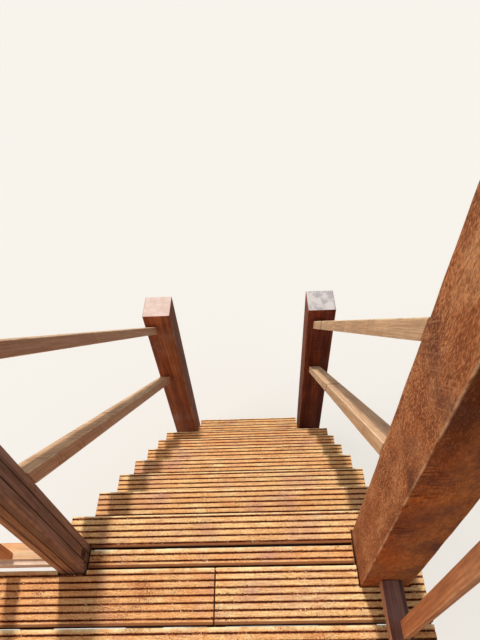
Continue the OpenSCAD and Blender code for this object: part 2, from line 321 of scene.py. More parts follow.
def scratchGroup():
    # slanting scratches left by a saw, strongest in patches; x runs up the post, y + z round it
    tree, takes = startGroup("sawScratches", "Place", "Marks")
    up, *sides = parts(tree, takes["Place"])
    around = plus(tree, *sides)
    cosine, sine = 0.64, 0.77  # the saw ran at 50 degrees to the post
    first = plus(tree, times(tree, up, cosine), times(tree, around, sine))
    second = maths(tree, "SUBTRACT", times(tree, around, cosine), times(tree, up, sine))
    drawn = vector(tree, times(tree, first, 230.0), times(tree, second, 9.0))
    lines = spread(tree, noise(tree, drawn, 1.0, 2.0), 0.52, 0.64)
    patches = spread(tree, noise(tree, takes["Place"], 5.0, 2.0), 0.46, 0.60)
    return closeGroup(tree, Marks=times(tree, lines, patches))


def knotGroup():
    # a knot: dark at its heart, ringed outside, longer along the grain than across
    tree, takes = startGroup("knotMarks", "Place Centre Radius", "Heart Rings")
    apart = vectorMaths(tree, "SUBTRACT", takes["Place"], takes["Centre"])
    far = vectorMaths(tree, "LENGTH", vectorMaths(tree, "MULTIPLY", apart, (0.6, 1.0, 1.0)))
    wobble = times(tree, noise(tree, takes["Place"], 90.0, 2.0), 0.5)
    share = plus(tree, maths(tree, "DIVIDE", far, takes["Radius"]), wobble)
    wave = spread(tree, maths(tree, "SINE", times(tree, share, 11.0)), -0.2, 1.0)
    return closeGroup(tree, Heart=spread(tree, share, 1.1, 0.7),
                      Rings=times(tree, wave, spread(tree, share, 2.6, 1.4)))


def wornEdgeGroup():
    # edges rubbed to another colour, in broken lengths; on the decking's far arris this colour is also a
    # painted highlight
    tree, takes = startGroup("wornEdges", "Color Worn Amount Place", "Color")
    broken = spread(tree, noise(tree, takes["Place"], 26.0, 3.0, 0.6), 0.35, 0.6)
    edge = times(tree, times(tree, attribute(tree, "wornEdge"), broken), takes["Amount"])
    return closeGroup(tree, Color=blend(tree, edge, takes["Color"], takes["Worn"]))


def weatherGroup():
    # greyed and dirty patches with a ragged outline
    tree, takes = startGroup("weathering", "Color Grey Amount Place", "Color")
    patches = spread(tree, noise(tree, takes["Place"], 5.0, 5.0, 0.68), 0.52, 0.68)
    patches = times(tree, patches, takes["Amount"])
    return closeGroup(tree, Color=blend(tree, patches, takes["Color"], takes["Grey"]))


def ringGroup():
    # growth rings on a sawn end: a wave of the distance from a pith outside the board
    tree, takes = startGroup("growthRings", "Place Rings", "Rings")
    flat = vectorMaths(tree, "MULTIPLY", takes["Place"], (0.0, 1.0, 1.0))
    wobble = vectorMaths(tree, "MULTIPLY", noise(tree, flat, 30.0, output=1), (0.004, 0.004, 0.004))
    far = vectorMaths(tree, "LENGTH", vectorMaths(tree, "ADD", flat, wobble))
    wave = maths(tree, "SINE", times(tree, far, takes["Rings"]))
    return closeGroup(tree, Rings=spread(tree, wave, -1.0, 1.0))


woodFigure = woodFigureGroup()
crossMarks = crossMarkGroup()
sawnSpecks = speckleGroup()
sawScratches = scratchGroup()
knotMarks = knotGroup()
wornEdges = wornEdgeGroup()
weathering = weatherGroup()
growthRings = ringGroup()


def closeMaterial(tree, colour, roughness, height, strength, distance):
    bump = addNode(tree, "ShaderNodeBump", {"Strength": strength, "Distance": distance, "Height": height})
    shader = addNode(tree, "ShaderNodeBsdfPrincipled", {
        "Base Color": colour, "Roughness": roughness, "Normal": bump.outputs[0],
        "Specular IOR Level": 0.1})
    out = addNode(tree, "ShaderNodeOutputMaterial")
    tree.links.new(shader.outputs[0], out.inputs[0])


def startMaterial(name):
    material = bpy.data.materials.new(name)
    material.use_nodes = True
    material.node_tree.nodes.clear()
    return material, material.node_tree


def stretch(tree, flat, mark, least=0.0, most=1.0):
    # one side or stretch of a piece: the mark gives the axis and the places where it starts and is full
    axis, low, high = mark
    return spread(tree, parts(tree, flat)[axis], low, high, least, most)


def stain(tree, colour, flat, figure, mark):
    # another colour on one stretch, where the chosen figure is strong, or where a second stretch meets it
    axis, low, high, other, amount, *limits = mark
    mask = stretch(tree, flat, (axis, low, high), 0.0, amount)
    for limit in limits:
        mask = times(tree, mask, spread(tree, figure[limit], 0.44, 0.60) if limit in figure
                     else stretch(tree, flat, limit))
    return blend(tree, mask, colour, tint(*other))


woodColours = ("dark", "middle", "light", "warm", "other", "line", "grey", "worn", "deep", "fleck")


def planedWood(name, look):
    # bands choose the ground colour, streaks and pores darken it, clouds warm it, edges are rubbed
    look = {**plainWood, **look}
    look.update({key: tint(*look[key]) for key in woodColours if key in look})
    material, tree = startMaterial(name)
    place, flat, seam = (attribute(tree, label) for label in ("woodPlace", "piecePlace", "fromSeam"))
    figure = dict(useGroup(tree, woodFigure, {"Place": place, "Along": look["along"],
                                              "Across": look["across"]}).items())
    for label, pitch in (("Cross", look["crossPitch"]), ("Teeth", look["toothPitch"])):
        if pitch:
            figure[label] = useGroup(tree, crossMarks, {"Place": place, "Pitch": pitch})[0]
    colour = ramp(tree, figure["Bands"], [(0.34, look["dark"]), (0.5, look["middle"]),
                                          (0.66, look["light"])])
    tone = spread(tree, attribute(tree, "boardTone"), -1.0, 1.0, 0.0, look["variety"])
    after = times(tree, maths(tree, "GREATER_THAN", seam, 0.0), look["joint"])
    colour = layers(tree, colour, look, (
        ("warm", spread(tree, figure["Clouds"], 0.42, 0.66, 0.0, look["cloud"])),
        ("other", plus(tree, tone, after))))
    for mark in look["stains"]:
        colour = stain(tree, colour, flat, figure, mark)
    colour = layers(tree, colour, look, (
        ("line", times(tree, figure["Cross"], look["cross"])),
        ("line", spread(tree, figure["Streaks"], 0.38, 0.62, look["streak"], 0.0)),
        ("line", times(tree, figure["Pores"], look["pore"]))))
    height = maths(tree, "SUBTRACT", figure["Streaks"], times(tree, figure["Pores"], 0.6))
    height = maths(tree, "SUBTRACT", height, times(tree, figure["Cross"], 0.3))
    if "speckSize" in look:
        # torn fibres, stronger in patches and weak on the side that was cut clean
        specks = useGroup(tree, sawnSpecks, {"Place": place, "Size": look["speckSize"]})
        torn = spread(tree, noise(tree, place, 4.0, 3.0, 0.6), 0.40, 0.62, 0.6 * look["specks"],
                      look["specks"])
        torn = times(tree, torn, stretch(tree, flat, look["cleanSide"], 1.0, 0.35))
        height = plus(tree, height, times(tree, specks["Relief"], times(tree, torn, 2.6)))
        scratches = useGroup(tree, sawScratches, {"Place": place})[0]
        scratches = times(tree, scratches, stretch(tree, flat, look["scratched"], 0.05, 0.4))
        scratches = times(tree, scratches, stretch(tree, flat, look["cleanSide"], 1.0, 0.2))
        colour = layers(tree, colour, look, (("line", times(tree, specks["Dark"], torn)),
                                             ("fleck", times(tree, specks["Pale"], torn)),
                                             ("fleck", scratches)))
    colour = useGroup(tree, weathering, {"Color": colour, "Grey": look["grey"], "Amount": look["greyed"],
                                         "Place": place})[0]
    colour = useGroup(tree, wornEdges, {"Color": colour, "Worn": look["worn"], "Amount": look["rubbed"],
                                        "Place": place})[0]
    for centre, radius in look["knots"]:
        knot = useGroup(tree, knotMarks, {"Place": flat, "Centre": centre, "Radius": radius})
        colour = layers(tree, colour, look, (("light", times(tree, knot["Rings"], 0.7)),
                                             ("deep", times(tree, knot["Heart"], 0.85))))
    # the dark of a groove, and the fine dark line where two lengths are glued end to end
    colour = layers(tree, colour, look, (
        ("deep", spread(tree, attribute(tree, "grooveDepth"), 0.15, 0.8, 0.0, 0.85)),
        ("deep", spread(tree, maths(tree, "ABSOLUTE", seam), *look["glue"]))))
    rough = spread(tree, figure["Streaks"], 0.3, 0.7, *look["roughness"])
    closeMaterial(tree, colour, rough, height, look["bump"], 0.0012)
    return material


def sawnEnd(name, pale, dark, grey, greyed):
    # rings and specks over a pale ground, mottled with another colour
    material, tree = startMaterial(name)
    place = attribute(tree, "woodPlace")
    rings = useGroup(tree, growthRings, {"Place": place, "Rings": 1900.0})[0]
    speckle = noise(tree, place, 420.0, 3.0, 0.7)
    colour = blend(tree, spread(tree, rings, 0.25, 0.9, 0.0, 0.4), tint(*pale), tint(*dark))
    colour = blend(tree, spread(tree, speckle, 0.5, 0.7, 0.0, 0.4), colour, tint(*dark))
    mottle = spread(tree, noise(tree, place, 26.0, 3.0, 0.6), 0.46, 0.62, 0.0, greyed)
    colour = blend(tree, mottle, colour, tint(*grey))
    closeMaterial(tree, colour, spread(tree, speckle, 0.3, 0.7, 0.7, 0.9), speckle, 0.35, 0.001)
    return material


deckingLook = {
    "along": 22.0, "across": 330.0, "runs": (9.0, 5.3, 37.0), "fibres": (170.0, 420.0, 420.0),
    "haze": 6.5, "clumps": (12.0, 34.0, 34.0), "grains": 300.0, "trodden": 4.3, "flakes": 210.0,
    "rearArris": (0.0080, 0.0062)}
deckingColours = {
    "rib": (252, 195, 130), "pale": (255, 227, 164), "brown": (226, 156, 96), "red": (232, 148, 90),
    "line": (184, 112, 62), "purple": (190, 138, 130), "groove": (64, 16, 2), "edge": (190, 92, 34),
    "crumb": (46, 16, 10), "mush": (118, 56, 32), "dust": (255, 234, 200), "worn": (255, 234, 180),
    "shaded": (130, 75, 42)}


def ribbedWood(name, look, colours):
    # ribs in many tones, brown grooves with ragged edges, crumbs and pale saw dust caught in them
    shade = {key: tint(*value) for key, value in colours.items()}
    material, tree = startMaterial(name)
    place, tone, ribs = (attribute(tree, label) for label in ("woodPlace", "boardTone", "ribCount"))
    figure = useGroup(tree, woodFigure, {"Place": place, "Along": look["along"], "Across": look["across"]})
    # every rib has its own run of light and dark lengths
    flat = parts(tree, attribute(tree, "piecePlace"))
    ownRun = zip((flat[0], maths(tree, "FLOOR", ribs), tone), look["runs"])
    runs = noise(tree, vector(tree, *(times(tree, *pair) for pair in ownRun)), 1.0, 3.0, 0.62)
    colour = ramp(tree, runs, [(0.30, shade["brown"]), (0.5, shade["rib"]), (0.68, shade["pale"])])
    fine = noise(tree, vectorMaths(tree, "MULTIPLY", place, look["fibres"]), 1.0, 2.0, 0.7)
    haze = noise(tree, place, look["haze"], 4.0, 0.6)
    colour = layers(tree, colour, shade, (
        ("red", spread(tree, tone, 0.0, 1.0, 0.0, 0.6)), ("pale", spread(tree, tone, 0.0, -1.0, 0.0, 0.45)),
        ("line", spread(tree, figure["Streaks"], 0.36, 0.58, 0.55, 0.0)),
        ("pale", spread(tree, figure["Streaks"], 0.58, 0.72, 0.0, 0.5)),
        ("line", times(tree, figure["Pores"], 0.5)), ("line", spread(tree, fine, 0.52, 0.66, 0.0, 0.6)),
        ("pale", spread(tree, fine, 0.48, 0.36, 0.0, 0.45)),
        ("purple", spread(tree, haze, 0.52, 0.72, 0.0, 0.6))))
    # worn edges in the pale worn colour; on the far arris of each board this is also a painted highlight
    colour = useGroup(tree, wornEdges, {"Color": colour, "Worn": shade["worn"], "Amount": 1.0,
                                        "Place": place})[0]
    # the arris that faces up the flight is painted brown: painted shade on the rounded edge turned from the
    # light
    colour = blend(tree, spread(tree, flat[1], *look["rearArris"], 0.0, 0.92), colour, shade["shaded"])
    # how far a spot lies from the middle of the nearest groove, 0 to 0.5 of the pitch
    apart = maths(tree, "PINGPONG", ribs, 0.5)
    clumps = noise(tree, vectorMaths(tree, "MULTIPLY", place, look["clumps"]), 1.0, 3.0, 0.6)
    grains = noise(tree, place, look["grains"], 2.0, 0.6)
    ragged = plus(tree, apart, spread(tree, grains, 0.3, 0.7, 0.07, -0.07))
    ragged = plus(tree, ragged, spread(tree, clumps, 0.35, 0.65, 0.03, -0.02))
    packed = times(tree, spread(tree, ragged, 0.145, 0.09), spread(tree, clumps, 0.38, 0.52, 0.6, 0.98))
    near = plus(tree, grains, spread(tree, apart, 0.30, 0.08, 0.0, 0.13))
    dirty = times(tree, spread(tree, near, 0.64, 0.70), spread(tree, clumps, 0.56, 0.46))
    # here and there a trodden patch of crumbs covers the ribs too
    patches = spread(tree, noise(tree, place, look["trodden"], 4.0, 0.65), 0.56, 0.64)
    trodden = plus(tree, grains, times(tree, clumps, 0.35))
    trodden = times(tree, spread(tree, trodden, 0.66, 0.74), patches)
    trodden = times(tree, trodden, spread(tree, tone, -0.3, 0.4, 0.1, 1.0))
    # pale flakes, most of them in the grooves
    flakes = addNode(tree, "ShaderNodeTexVoronoi", {"Vector": place, "Scale": look["flakes"]}).outputs
    chosen = addNode(tree, "ShaderNodeSeparateColor", {0: flakes["Color"]}).outputs[0]
    limit = spread(tree, apart, 0.06, 0.24, 0.86, 0.995)
    dust = times(tree, spread(tree, flakes["Distance"], 0.42, 0.25), spread(tree, clumps, 0.52, 0.40))
    dust = times(tree, maths(tree, "GREATER_THAN", chosen, limit), dust)
    # the dark crumb colour marks crumbs in dirty spots; down the sides of the gaps between boards it is
    # painted shade
    colour = layers(tree, colour, shade, (
        ("edge", spread(tree, ragged, 0.23, 0.14, 0.0, 0.75)), ("groove", packed), ("crumb", dirty),
        ("mush", times(tree, trodden, 0.9)), ("dust", dust),
        ("crumb", spread(tree, attribute(tree, "gapDepth"), 0.14, 0.34, 0.0, 0.96))))
    height = plus(tree, figure["Streaks"], times(tree, dirty, 1.5))
    height = plus(tree, height, times(tree, dust, 2.0))
    closeMaterial(tree, colour, spread(tree, figure["Streaks"], 0.3, 0.7, 0.78, 0.55), height, 0.45, 0.001)
    return material


# a stain: axis, where it starts and is full, colour, amount, and what else limits it
nearFace, leftFace = (2, 0.004, 0.001), (1, 0.004, 0.001)
plainWood = {
    "deep": (74, 40, 22), "along": 5.0, "across": 150.0, "cloud": 0.5, "variety": 0.2, "joint": 0.0,
    "streak": 0.5, "pore": 0.5, "cross": 0.15, "crossPitch": 0.02, "toothPitch": 0.0, "greyed": 0.3,
    "rubbed": 0.5, "roughness": (0.62, 0.46), "bump": 0.3, "glue": (0.0016, 0.0006, 0.0, 0.75),
    "stains": (), "knots": ()}
finishes = {
    "paleRail": {
        "dark": (190, 136, 98), "middle": (238, 192, 150), "light": (255, 226, 190),
        "warm": (232, 168, 122), "other": (200, 148, 112), "line": (146, 94, 66), "grey": (180, 146, 124),
        "worn": (255, 234, 196), "along": 4.5, "across": 210.0, "variety": 0.25, "joint": 0.4,
        "pore": 0.45, "cross": 0.25, "crossPitch": 0.013, "greyed": 0.4, "rubbed": 0.8, "bump": 0.25,
        # the top face and the left face are painted paler and the right face greyer: painted light on the
        # faces the light reaches, painted shade on the face turned from it
        "stains": [(2, 0.052, 0.056, (255, 224, 180), 0.4), (*leftFace, (255, 214, 166), 0.65),
                   (1, 0.056, 0.0595, (190, 152, 130), 0.5)]},
    "frontLowRail": {
        "dark": (232, 168, 118), "middle": (255, 208, 156), "light": (255, 232, 190),
        "warm": (252, 190, 134), "other": (222, 160, 116), "line": (176, 112, 70),
        "grey": (196, 158, 136), "worn": (255, 236, 206), "along": 6.0, "cloud": 0.4, "streak": 0.4,
        # the step strip is painted near white: painted highlight on the step
        "pore": 0.3, "cross": 0.1, "bump": 0.2, "stains": [(1, 0.0135, 0.0125, (255, 230, 206), 0.95)]},
    # a shaded copy of the low rails' wood, darker and purpler all over: painted shade; its step is painted
    # darker still, more painted shade, and its left face paler, painted light
    "shadedSideLowRail": {
        "dark": (102, 66, 62), "middle": (142, 106, 92), "light": (188, 148, 126), "warm": (146, 98, 80),
        "other": (124, 90, 82), "line": (92, 60, 56), "grey": (146, 118, 112), "worn": (222, 176, 142),
        "deep": (60, 34, 24), "cloud": 0.4, "variety": 0.3, "streak": 0.65, "pore": 0.4, "cross": 0.1,
        "greyed": 0.4, "rubbed": 0.35, "bump": 0.25,
        "stains": [(1, 0.016, 0.010, (112, 64, 58), 0.6), (1, 0.044, 0.047, (88, 50, 52), 0.8),
                   (1, 0.002, 0.0, (232, 164, 112), 0.8)]},
    "leftLowPost": {
        "dark": (140, 72, 44), "middle": (178, 102, 64), "light": (214, 136, 90), "warm": (190, 104, 56),
        "other": (162, 90, 58), "line": (96, 46, 28), "grey": (196, 150, 126), "worn": (226, 176, 142),
        "deep": (50, 24, 14), "along": 4.0, "across": 120.0, "streak": 0.6, "cross": 0.2,
        "rubbed": 0.75, "roughness": (0.62, 0.44),
        # the right face is painted darker: painted shade on the side turned from the light
        "stains": [(1, 0.140, 0.1435, (96, 58, 46), 0.6), (0, 0.9, 0.2, (150, 78, 46), 0.3)]},
    # a shaded copy of the low posts' wood, darker and redder all over: painted shade. Its left face is
    # painted paler and its upper end lighter, painted light; its foot is painted darker, painted shade
    "rightLowPost": {
        "dark": (92, 40, 26), "middle": (128, 58, 36), "light": (178, 94, 58), "warm": (148, 62, 32),
        "other": (104, 44, 28), "line": (60, 27, 18), "grey": (124, 74, 58), "worn": (196, 140, 112),
        "deep": (40, 20, 12), "across": 120.0, "streak": 0.65, "cross": 0.55, "crossPitch": 0.007,
        "rubbed": 0.6, "roughness": (0.66, 0.5), "bump": 0.35,
        "stains": [(*leftFace, (176, 112, 90), 0.6), (0, 1.25, 1.5, (176, 92, 68), 0.3),
                   (0, 1.1, 0.5, (58, 24, 14), 0.4)]},
    "groovedPost": {
        "dark": (134, 94, 72), "middle": (170, 124, 96), "light": (200, 156, 124), "warm": (186, 124, 86),
        "other": (146, 104, 84), "line": (84, 50, 38), "grey": (150, 122, 110), "worn": (200, 150, 116),
        "deep": (44, 24, 18), "along": 4.5, "cloud": 0.45, "variety": 0.25, "streak": 0.55,
        "greyed": 0.45,
        "stains": [(*nearFace, (226, 158, 112), 0.7, (1, 0.058, 0.050)),
                   (*nearFace, (206, 138, 96), 0.5, "Clouds"),
                   (2, 0.006, 0.002, (120, 90, 74), 0.65, (1, 0.054, 0.064)),
                   (1, 0.076, 0.080, (166, 130, 120), 0.7)]},
    "heavyPost": {
        "dark": (138, 76, 48), "middle": (188, 116, 74), "light": (222, 156, 106), "warm": (204, 120, 66),
        "other": (176, 104, 64), "line": (98, 50, 30), "grey": (112, 68, 54), "worn": (236, 190, 150),
        "deep": (40, 20, 12), "fleck": (236, 170, 116), "along": 40.0, "across": 110.0, "variety": 0.1,
        "streak": 0.42, "pore": 0.3, "cross": 0.0, "crossPitch": 0.03, "toothPitch": 0.007,
        "greyed": 0.85, "rubbed": 0.85, "roughness": (0.9, 0.75), "bump": 0.8, "specks": 0.75,
        "speckSize": 0.0028, "cleanSide": nearFace, "scratched": (0, 2.65, 2.85),
        "stains": [(*nearFace, (156, 80, 40), 0.65), (*nearFace, (216, 116, 46), 0.8, "Clouds"),
                   (*nearFace, (104, 42, 20), 0.6, "Cross"), (*nearFace, (88, 36, 16), 0.7, "Teeth"),
                   (*nearFace, (52, 22, 14), 0.8, (0, 2.62, 2.80)),
                   (*nearFace, (226, 136, 70), 0.6, (1, 0.030, 0.080)),
                   # darker from half a metre above the deck down and below it: painted shade where the post
                   # meets the deck, with some weathering of the foot
                   (0, 2.4, 1.88, (136, 84, 58), 0.3)]},
    "picket": {
        "dark": (196, 126, 82), "middle": (226, 152, 102), "light": (244, 178, 126),
        "warm": (224, 138, 86), "other": (200, 130, 88), "line": (146, 86, 54), "grey": (170, 124, 100),
        "worn": (250, 204, 158), "along": 8.0, "across": 190.0, "variety": 0.4, "pore": 0.35,
        "crossPitch": 0.015, "rubbed": 0.6},
    "framing": {
        "dark": (128, 88, 58), "middle": (160, 114, 78), "light": (186, 140, 100), "warm": (168, 110, 70),
        "other": (138, 96, 68), "line": (92, 58, 38), "grey": (132, 112, 96), "worn": (206, 164, 122),
        "deep": (50, 30, 20), "across": 140.0, "variety": 0.5, "streak": 0.55, "cross": 0.3,
        "crossPitch": 0.009, "greyed": 0.5, "roughness": (0.85, 0.65), "bump": 0.5},
}
finishes["curlyRail"] = {**finishes["paleRail"], "cross": 0.7}
finishes["jointedRail"] = {**finishes["paleRail"], "glue": (0.020, 0.008, 0.0, 0.6)}
belowKnot = (0, 1.96, 1.89, (92, 72, 66), 0.6)
finishes["knottedPost"] = {**finishes["groovedPost"], "knots": [((1.929, 0.081, 0.041), 0.018)],
                           "stains": [*finishes["groovedPost"]["stains"], belowKnot]}
ends = {"paleSawnEnd": ((236, 186, 138), (160, 110, 74), (190, 158, 130), 0.5),
        "pinkSawnEnd": ((222, 198, 186), (184, 146, 130), (232, 212, 204), 0.6),
        "greySawnEnd": ((210, 202, 200), (184, 172, 170), (140, 136, 142), 0.6),
        "brownSawnEnd": ((156, 108, 78), (96, 60, 42), (140, 120, 104), 0.5)}
wood = {name: planedWood(name, look) for name, look in finishes.items()}
wood["decking"] = ribbedWood("ribbedDecking", deckingLook, deckingColours)
paleEnd, pinkEnd, greyEnd, brownEnd = (sawnEnd(name, *look) for name, look in ends.items())
print("finishes mixed:", len(wood) + len(ends))

boards = {"thickness": 0.028, "treadWidth": 0.095, "treadGrooves": 5, "landingWidth": 0.145,
          "landingGrooves": 7, "gap": 0.005, "pitch": 0.0192, "grooveWidth": 0.005, "grooveDepth": 0.0035,
          "grooveTaper": 0.001, "ribRound": 0.0011, "grooveRound": 0.0009, "topRound": 0.0025,
          "backRound": 0.002, "nosing": 0.004, "ragged": 0.002, "unevenness": 0.0008,
          # the tread tones grow redder down to treads 6 and 7: board tone, with painted shade of a tree on
          # the middle treads
          "tones": (-0.3, -0.1, 0.1, 0.2, 0.4, 0.4, 0.3, 0.2), "toneSpread": 0.2}


def ribbedProfile(width, grooves):
    # corners run along the flat back, then from right to left over the ribs
    b = boards
    centres = width / 2 + b["pitch"] * (np.arange(grooves)[::-1] - (grooves - 1) / 2)
    top, floor = b["grooveWidth"] / 2, b["grooveWidth"] / 2 - b["grooveTaper"]
    ribs = np.stack([np.stack([centres + across, centres * 0 - down], 1) for across, down in
                     ((top, 0), (floor, b["grooveDepth"]), (-floor, b["grooveDepth"]), (-top, 0))], 1)
    back = -b["thickness"]
    corners = np.concatenate([[[0, back], [width, back], [width, 0]], ribs.reshape(-1, 2), [[0, 0]]])
    grooveRounds = [b["ribRound"], b["grooveRound"], b["grooveRound"], b["ribRound"]] * grooves
    outline, worn = softCorners(corners, np.array([b["backRound"], b["backRound"], b["topRound"],
                                                   *grooveRounds, b["topRound"]]))
    rim = b["topRound"] * 1.5
    inside = (outline[:, 0] > rim) & (outline[:, 0] < width - rim) & (outline[:, 1] > back / 3)
    return (outline, worn), np.clip(-outline[:, 1] / b["grooveDepth"], 0, 1) * inside


def ribbedBoard(x0, x1, nearY, topZ, width, grooves, gaps, cuts=(), tone=None):
    # the profile carried from x0 to x1, its ends a little out of line and its top a little low
    b = boards
    profile, depth = ribbedProfile(width, grooves)
    trimLow, trimHigh, dropped = chance.uniform(0, 1, 3) * [b["ragged"], b["ragged"], b["unevenness"]]
    x0, x1 = x0 + trimLow, x1 - trimHigh
    board = carryProfile(profile, (x0, nearY, topZ - dropped), (x1 - x0) * acrossX, downY, upZ,
                         wander=0.0005, chamfer=0.0012, spacing=0.04, groove=depth, tone=tone,
                         cuts=[(a - x0, b - x0, side, limit) for a, b, side, limit in cuts])
    # whole numbers of this count lie at the middle of the grooves
    u, w = board["flat"][:, 1], board["flat"][:, 2]
    board["rib"] = (u - width / 2) / b["pitch"] + (grooves - 1) / 2
    # 0 at the surface, 1 at the back, on the sides that face another board; the finish paints shade down
    # these sides by it
    wall = 0.0015
    side = (u < wall) * ("near" in gaps) + (u > width - wall) * ("far" in gaps)
    board["gap"] = side * np.clip(-w / b["thickness"], 0, 1)
    # the far arris of every board, the nosing on a tread, is marked worn over its whole rounding: rubbed
    # pale, and a painted highlight where it faces the light
    rubbed = (u > width - b["nosing"]) & (w > -b["nosing"])
    board["worn"] = np.where(rubbed, 1.0, board["worn"])
    return board


def makeTread(number):
    node = "tread_%d" % number
    low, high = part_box(node)
    width = boards["treadWidth"]
    near = high[1] - width
    if number == 1:
        lengths = topTread(low, high, near)
    else:
        around = boards["toneSpread"]
        tones = boards["tones"][number - 2] + chance.uniform(-around, around, 2)
        lengths = [ribbedBoard(low[0], high[0], y, high[2], width, boards["treadGrooves"], gap, (), tone)
                   for y, gap, tone in zip((near, near - width - boards["gap"]), ("near", "far"), tones)]
    makePiece(node, lengths, [wood["decking"], paleEnd], "treadBoards%d" % number)


topCuts = {"leftTo": -0.437, "leftDepth": 0.013, "rightFrom": 0.356, "rightDepth": 0.037, "strip": 0.050,
           "stripGrooves": 2, "frontTone": -0.55, "stripTone": 0.35}


def topTread(low, high, near):
    # level with the landing, cut round both upper posts, with a ripped strip behind it
    c = topCuts
    leftTo, rightFrom = flightZero[0] + c["leftTo"], flightZero[0] + c["rightFrom"]
    cuts = [(low[0] - 1, leftTo, "near", c["leftDepth"]), (rightFrom, high[0] + 1, "near", c["rightDepth"])]
    front = ribbedBoard(low[0], high[0], near, high[2], boards["treadWidth"], boards["treadGrooves"],
                        "near", cuts, c["frontTone"])
    strip = ribbedBoard(leftTo, rightFrom, low[1], high[2], c["strip"], c["stripGrooves"], "near far", (),
                        c["stripTone"])
    return [front, strip]


for number in range(1, 10):
    makeTread(number)

landing = {"rows": 8, "jointX": (-0.054, -1.11667), "jointGap": 0.0025,
           "posts": ((0.358, 0.504, 0.085), (-0.524, -0.437, 0.132)),
           "corners": ((-1.651, -1.564, 0.085), (0.417, 0.504, 0.085)), "firstTones": (0.6, -0.7)}


def makeLanding():
    # rows of boards joined end to end over a joist, the joint at one place and the other by turns
    low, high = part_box("landing_boards")
    lastRow = landing["rows"] - 1
    width, pitch = boards["landingWidth"], boards["landingWidth"] + boards["gap"]
    lengths = []
    for row in range(landing["rows"]):
        near = high[1] - width - row * pitch
        joint = flightZero[0] + landing["jointX"][row % 2]
        side, notches = {0: ("far", landing["posts"]),
                         lastRow: ("near", landing["corners"])}.get(row, ("", ()))
        cuts = [(a + flightZero[0], b + flightZero[0], side, limit) for a, b, limit in notches]
        spans = ((low[0], joint - landing["jointGap"] / 2), (joint + landing["jointGap"] / 2, high[0]))
        for part, (x0, x1) in enumerate(spans):
            inside = [c for c in cuts if c[0] > x0 and c[1] < x1]
            tone = landing["firstTones"][part] if row == 0 else None
            gaps = "far" if row == lastRow else "near far"
            lengths.append(ribbedBoard(x0, x1, near, high[2], width, boards["landingGrooves"], gaps,
                                       inside, tone))
    makePiece("landing_boards", lengths, [wood["decking"], paleEnd], "landingDecking")


makeLanding()
print("boards laid")


stringers = {"setBack": 0.035, "throat": 0.120, "headDepth": 0.145, "edge": 0.0015}


def makeStringer(node):
    # saw-tooth outline in Y and Z, carried through the plank's thickness
    low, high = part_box(node)
    s = stringers
    noses = [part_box("tread_%d" % n)[1] for n in range(1, 10)]
    backs = [n[1] - s["setBack"] for n in noses]
    tops = [n[2] - boards["thickness"] for n in noses]
    steps = [[low[1], tops[0]], [backs[0], tops[0]]]
    for n in range(1, 9):
        steps += [[backs[n - 1], tops[n]], [backs[n], tops[n]]]
    going, rise = backs[1] - backs[0], tops[0] - tops[1]
    drop = s["throat"] / math.cos(math.atan2(rise, going))
    footY = backs[0] + (tops[1] - drop) * going / rise
    backLow = tops[1] - drop - (low[1] - backs[0]) * rise / going
    corners = steps + [[backs[8], 0.0], [footY, 0.0], [low[1], min(backLow, tops[0] - s["headDepth"])]]
    plank = carryProfile(softCorners(corners, s["edge"], 1), (low[0], 0, 0), (high[0] - low[0]) * acrossX,
                         downY, upZ, wander=0.0, chamfer=s["edge"], spacing=0.02)
    # the grain runs down the slope: turn the place so that its first axis follows it
    angle = math.atan2(-rise, going)
    p = plank["points"] - plank["points"].mean(0)
    plank["place"] = np.stack([p[:, 1] * math.cos(angle) + p[:, 2] * math.sin(angle),
                               -p[:, 1] * math.sin(angle) + p[:, 2] * math.cos(angle),
                               p[:, 0]], 1) + chance.uniform(-grainRange, grainRange, 3)
    makePiece(node, [plank], [wood["framing"]])


makeStringer("left_stringer")
makeStringer("right_stringer")


def bar(low, high, way, corner=0.0025, wander=0.0006, spacing=0.06, shape=None, groove=None, steps=2):
    # a straight length filling the box from low to high, its grain along X, Y or Z
    low, high = np.array(low, float), np.array(high, float)
    x, y, z = high - low
    start, along, across, up, corners = {
        "x": (low, x * acrossX, downY, upZ, boxCorners(y, z)),
        "y": ((low[0], high[1], low[2]), -y * downY, acrossX, upZ, boxCorners(x, z)),
        "z": (low, z * upZ, acrossX, downY, boxCorners(x, y))}[way]
    profile = softCorners(shape(x, y, z) if shape else corners, corner, steps)
    depth = None if groove is None else np.repeat(groove, steps + 1)
    return carryProfile(profile, start, along, across, up, wander, 0.002, spacing, groove=depth)


for node, way in (("front_beam", "x"), ("rear_beam", "x"), ("left_rim_beam", "y"), ("right_rim_beam", "y")):
    makePiece(node, [bar(*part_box(node), way, wander=0.0005)], [wood["framing"], paleEnd])

joists = {"thickness": 0.043, "count": 3}
low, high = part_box("landing_joists")
edges = np.linspace(low[0], high[0] - joists["thickness"], joists["count"])
lengths = [bar((x, *low[1:]), (x + joists["thickness"], *high[1:]), "y", wander=0.0005) for x in edges]
makePiece("landing_joists", lengths, [wood["framing"], paleEnd])
print("frame built")


posts = {"round": 0.004, "groove": 0.0045, "grooveRound": 0.0006, "slimRound": 0.009, "heavyRound": 0.005}


def groovedPlan(w, d, _):
    # two V grooves in each face, a third of the way in from either side
    g = posts["groove"] / 2
    near, side = (np.array([[t * face / 3 + e, g * (e == 0)] for t in (1, 2) for e in (-g, 0, g)])
                  for face in (w, d))
    right = np.stack([w - side[:, 1], side[:, 0]], 1)
    far = np.stack([w - near[:, 0], d - near[:, 1]], 1)
    left = np.stack([side[:, 1], d - side[:, 0]], 1)
    return np.concatenate([[[0, 0]], near, [[w, 0]], right, [[w, d]], far, [[0, d]], left])


